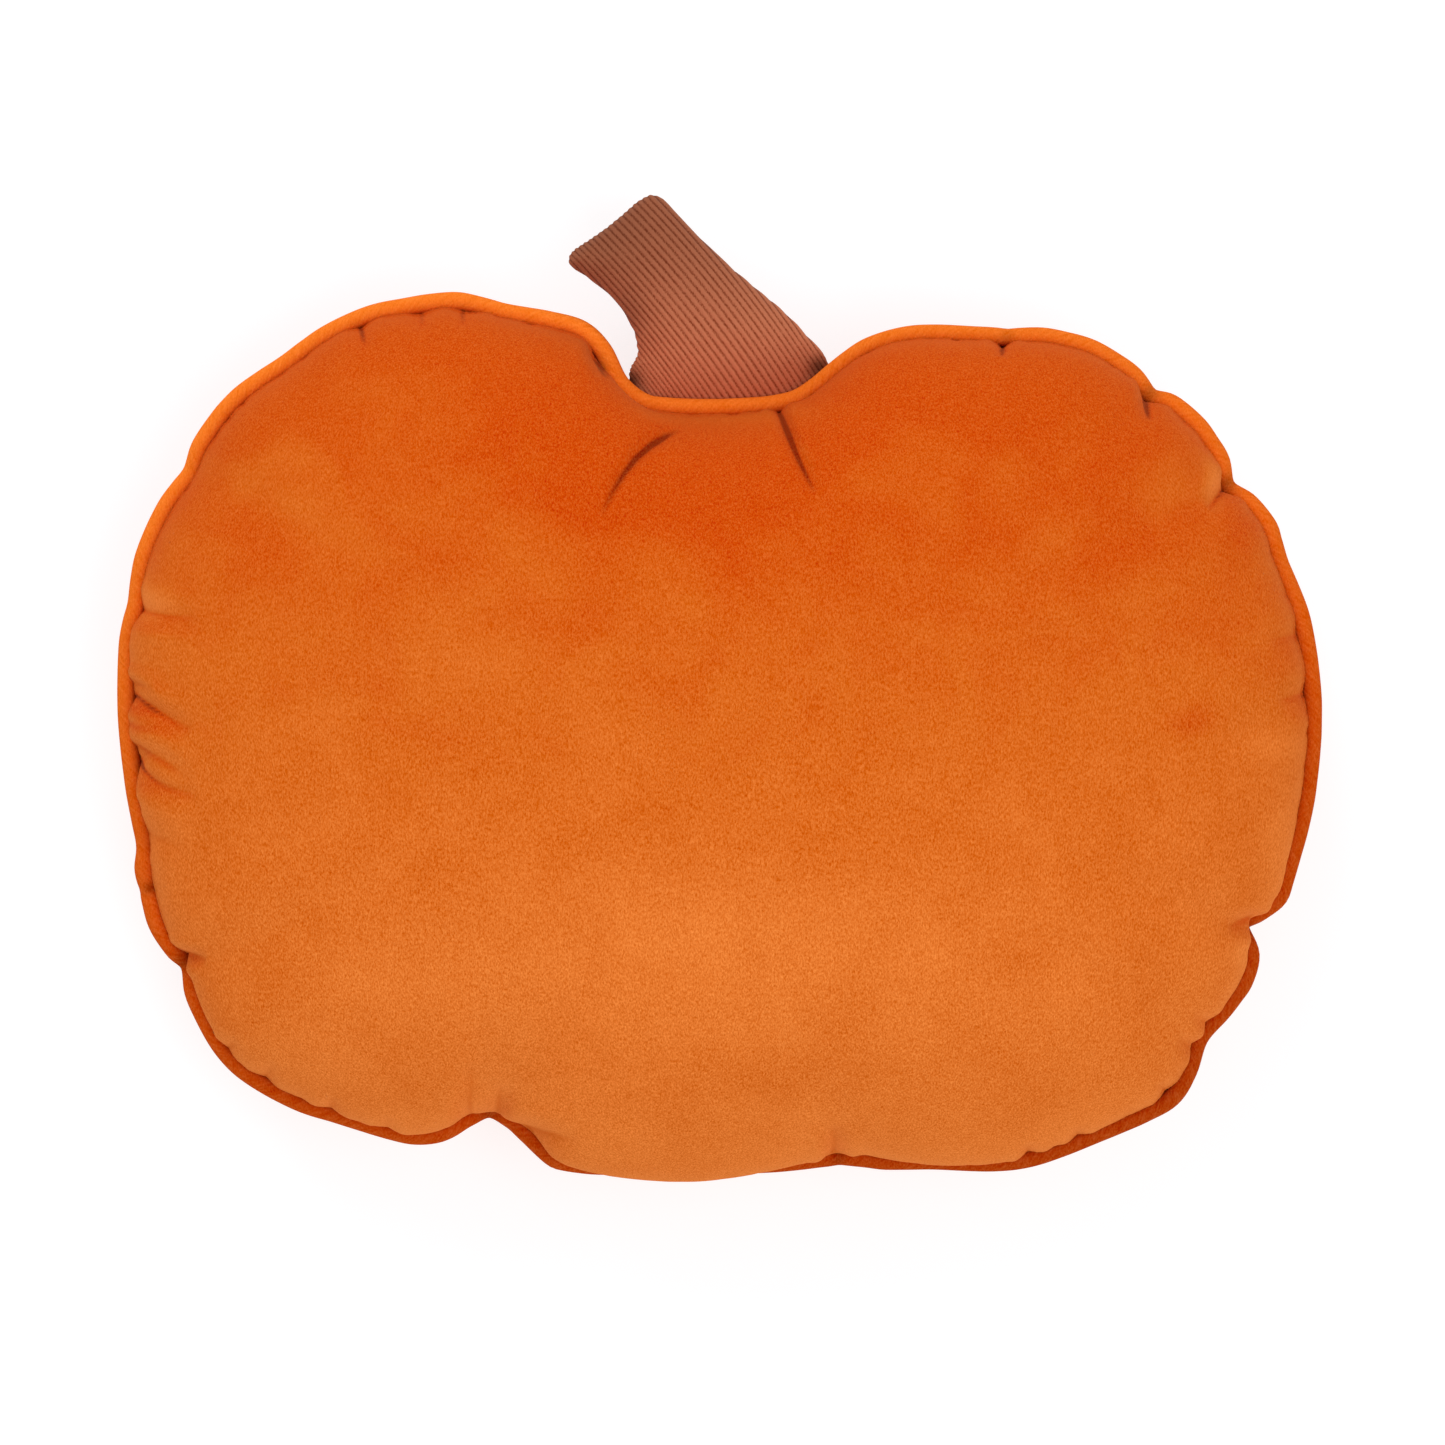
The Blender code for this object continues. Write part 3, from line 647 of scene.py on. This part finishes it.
def ranged(tree, value, low, high, to_low, to_high):
    """A value taken smoothly from low..high to to_low..to_high."""
    node = add_node(tree, "ShaderNodeMapRange", interpolation_type="SMOOTHSTEP")
    tree.links.new(value, node.inputs["Value"])
    for name, number in (("From Min", low), ("From Max", high), ("To Min", to_low), ("To Max", to_high)):
        node.inputs[name].default_value = number
    return node.outputs["Result"]


def brightened(tree, colour, share):
    """A colour made lighter, or darker below nothing, by a share of itself."""
    node = add_node(tree, "ShaderNodeVectorMath", operation="SCALE")
    tree.links.new(colour, node.inputs[0])
    tree.links.new(maths(tree, "ADD", share, 1.0), node.inputs["Scale"])
    return node.outputs["Vector"]


def flecked(tree, colour, fleck):
    """A colour with light and dark flecks of pile, from a fleck that runs about 0."""
    node = add_node(tree, "ShaderNodeVectorMath", operation="MULTIPLY_ADD")
    node.inputs[0].default_value = FLECK_LIGHT
    tree.links.new(fleck, node.inputs[1])
    tree.links.new(colour, node.inputs[2])
    return node.outputs["Vector"]


def finish_cloth(tree, shader, height, bump_strength, sheen, tint):
    """The dull surface that every cloth of the cushion has, with a bump by height and a tinted sheen."""
    bump = add_node(tree, "ShaderNodeBump", {"Strength": bump_strength, "Distance": 0.0005})
    tree.links.new(height, bump.inputs["Height"])
    tree.links.new(bump.outputs["Normal"], shader.inputs["Normal"])
    shader.inputs["Roughness"].default_value = 0.9
    shader.inputs["Specular IOR Level"].default_value = 0.02
    shader.inputs["Sheen Weight"].default_value = sheen
    shader.inputs["Sheen Roughness"].default_value = 0.45
    shader.inputs["Sheen Tint"].default_value = tint


def velvet_material(pile):
    material, tree, shader = new_material("velvet")
    fuzz = add_node(tree, "ShaderNodeGroup", node_tree=pile)
    fleck = fuzz.outputs["Fleck"]
    nap_and_light = add_node(tree, "ShaderNodeAttribute", attribute_name="nap_and_light").outputs["Fac"]
    valley_shade = add_node(tree, "ShaderNodeAttribute", attribute_name="valley_shade").outputs["Fac"]
    # Painted sheen and shade: the panel is drawn paler and peachier on faces tilted towards −Y and towards its
    # bottom, and deeper on faces tilted towards +Y and towards its top; the clouds are the pile's own tone
    painted_sheen_and_clouds = total(
        tree,
        maths(tree, "MULTIPLY", fuzz.outputs["Lean"], -0.40),
        ranged(tree, fuzz.outputs["Up"], -0.10, 0.12, 0.53, 0.42),
        centred(tree, fuzz.outputs["Cloud"], 0.45),
    )
    # The painted tone marks, brushed pile with painted highlights and painted shade, are added here
    tone = maths(tree, "MAXIMUM", total(tree, maths(tree, "MAXIMUM", painted_sheen_and_clouds, 0.24), nap_and_light), 0.20)
    # Painted shade in the fold troughs and gathers darkens the tone, and the flecks fade where it is painted
    tone = total(tree, tone, maths(tree, "MULTIPLY", valley_shade, -0.50))
    colour = ramp(tree, tone, {0.0: VELVET_SHADE, 0.20: VELVET_DEEP, 0.5: VELVET_MIDDLE, 0.9: VELVET_PALE})
    gain = ranged(tree, fuzz.outputs["Up"], -0.14, 0.10, 1.05, 0.62)
    unshaded = maths(tree, "SUBTRACT", 1.0, valley_shade)
    colour = flecked(tree, colour, maths(tree, "MULTIPLY", centred(tree, fleck, gain), unshaded))
    tree.links.new(colour, shader.inputs["Base Color"])
    finish_cloth(tree, shader, fleck, 0.6, 0.20, VELVET_SHEEN)
    return material


def piping_material(pile, length, radius):
    """Bias-cut velvet: fine slanting lines on the tube's own UVs, the pile's flecks, and painted light and shade.
    """
    material, tree, shader = new_material("piping_velvet")
    fuzz = add_node(tree, "ShaderNodeGroup", node_tree=pile)
    surface = add_node(tree, "ShaderNodeUVMap")
    slant = add_node(tree, "ShaderNodeMapping", {
        "Scale": (length * 900.0, 2 * math.pi * radius * 900.0, 1.0),
        "Rotation": (0.0, 0.0, math.radians(45)),
    })
    lines = add_node(tree, "ShaderNodeTexNoise", {"Scale": 1.0, "Detail": 1.0})
    stretch = add_node(tree, "ShaderNodeMapping", {"Scale": (0.16, 1.0, 1.0)})
    tree.links.new(surface.outputs["UV"], slant.inputs["Vector"])
    tree.links.new(slant.outputs["Vector"], stretch.inputs["Vector"])
    tree.links.new(stretch.outputs["Vector"], lines.inputs["Vector"])
    grain = total(tree, centred(tree, lines.outputs["Fac"], 0.6), centred(tree, fuzz.outputs["Fleck"], 0.9))
    # Painted light: the piping is drawn paler towards the top and the left, where the light comes from, and darker
    # towards the bottom and the right, where the body's shadow falls
    tone = total(
        tree,
        ranged(tree, fuzz.outputs["Up"], -0.20, 0.16, 0.24, 0.95),
        maths(tree, "MULTIPLY", fuzz.outputs["Across"], -0.60),
    )
    colour = ramp(tree, tone, {0.0: PIPING_SHADED, 0.5: PIPING_MIDDLE, 1.0: PIPING_LIT})
    # Painted shade across the piping's creases
    kink_shade = add_node(tree, "ShaderNodeAttribute", attribute_name="kink_shade").outputs["Fac"]
    colour = brightened(tree, colour, maths(tree, "MULTIPLY", kink_shade, -1.0))
    colour = flecked(tree, colour, maths(tree, "MULTIPLY", grain, 0.45))
    tree.links.new(colour, shader.inputs["Base Color"])
    finish_cloth(tree, shader, grain, 0.6, 0.08, VELVET_SHEEN)
    return material


def corduroy_material(pile):
    material, tree, shader = new_material("corduroy")
    fuzz = add_node(tree, "ShaderNodeGroup", {"Fleck Scale": 2300.0, "Cloud Scale": 60.0}, node_tree=pile)
    ridge = add_node(tree, "ShaderNodeAttribute", attribute_name="ridge").outputs["Fac"]
    # The grooves between the wales are drawn darker than the ridges: painted shade in the grooves
    tone = total(tree, centred(tree, fuzz.outputs["Fleck"], 1.3), ridge)
    colour = ramp(tree, tone, {0.05: CORDUROY_GROOVE_SHADE, 0.70: CORDUROY_RIDGE})
    painted = add_node(tree, "ShaderNodeAttribute", attribute_name="shade").outputs["Fac"]
    # Painted light: the stem is drawn paler at its base and darker towards its tip, darker on its hollow left
    # side, and darker again under the painted shade marks
    shade = total(
        tree,
        ranged(tree, fuzz.outputs["Up"], 0.106, 0.180, 0.54, -0.20),
        ranged(tree, fuzz.outputs["Across"], -0.046, -0.016, -0.12, 0.04),
        maths(tree, "MULTIPLY", painted, -1.0),
    )
    tree.links.new(brightened(tree, colour, shade), shader.inputs["Base Color"])
    finish_cloth(tree, shader, fuzz.outputs["Fleck"], 0.5, 0.2, CORDUROY_SHEEN)
    return material


def floor_and_light():
    bpy.ops.mesh.primitive_plane_add(size=14.0, location=(0.0, 0.0, -0.0002))
    floor = bpy.context.view_layer.objects.active
    floor.name = "floor"
    white, _, shader = new_material("floor_white")
    shader.inputs["Base Color"].default_value = FLOOR_WHITE
    shader.inputs["Roughness"].default_value = 0.9
    shader.inputs["Emission Color"].default_value = (1.0, 1.0, 1.0, 1.0)
    shader.inputs["Emission Strength"].default_value = FLOOR_GLOW
    floor.data.materials.append(white)

    world = bpy.data.worlds.new("studio")
    bpy.context.scene.world = world
    world.use_nodes = True
    sky = world.node_tree.nodes["Background"]
    sky.inputs["Color"].default_value = (1.0, 1.0, 1.0, 1.0)
    sky.inputs["Strength"].default_value = 0.55

    add_light("key", (-0.9, 2.2, 2.2), 1.8, 40.0)
    add_light("front", (1.0, -0.9, 3.2), 2.6, 46.0)


def add_light(name, place, size, power):
    light = bpy.data.lights.new(name, "AREA")
    light.size = size
    light.energy = power
    lamp = bpy.data.objects.new(name, light)
    bpy.context.scene.collection.objects.link(lamp)
    lamp.location = place
    lamp.rotation_euler = (Vector(place) * -1).to_track_quat("-Z", "Y").to_euler()


def add_camera():
    camera = bpy.data.cameras.new("camera")
    camera.sensor_width = SENSOR_WIDTH
    camera.lens = SENSOR_WIDTH * CAMERA_DISTANCE / FRAME_WIDTH
    camera.clip_end = 50.0
    holder = bpy.data.objects.new("camera", camera)
    bpy.context.scene.collection.objects.link(holder)
    holder.location = (FRAME_MIDDLE.x, FRAME_MIDDLE.y, SEAM_HEIGHT + CAMERA_DISTANCE)
    bpy.context.scene.camera = holder
    bpy.context.scene.view_settings.view_transform = "Standard"


def place_piece(piece, node, material):
    piece.data.materials.append(material)
    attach(piece, "root")
    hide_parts(node)


middles, piping_radius = ring_middles("piping")
seam_line = evenly_round([tuple(m) for m in middles], PIPING_STEP)
seam_length = len(seam_line) * PIPING_STEP
print("piping rings", len(middles), "radius", round(piping_radius * 1000, 2), "mm, length", round(seam_length, 3))

pile = pile_group()

velvet_body = make_body(seam_line, piping_radius)
place_piece(velvet_body, "cushion_body", velvet_material(pile))

velvet_piping = make_piping(seam_line, piping_radius)
place_piece(velvet_piping, "piping", piping_material(pile, seam_length, piping_radius))

corduroy_stem = make_stem()
place_piece(corduroy_stem, "stem", corduroy_material(pile))

floor_and_light()
add_camera()
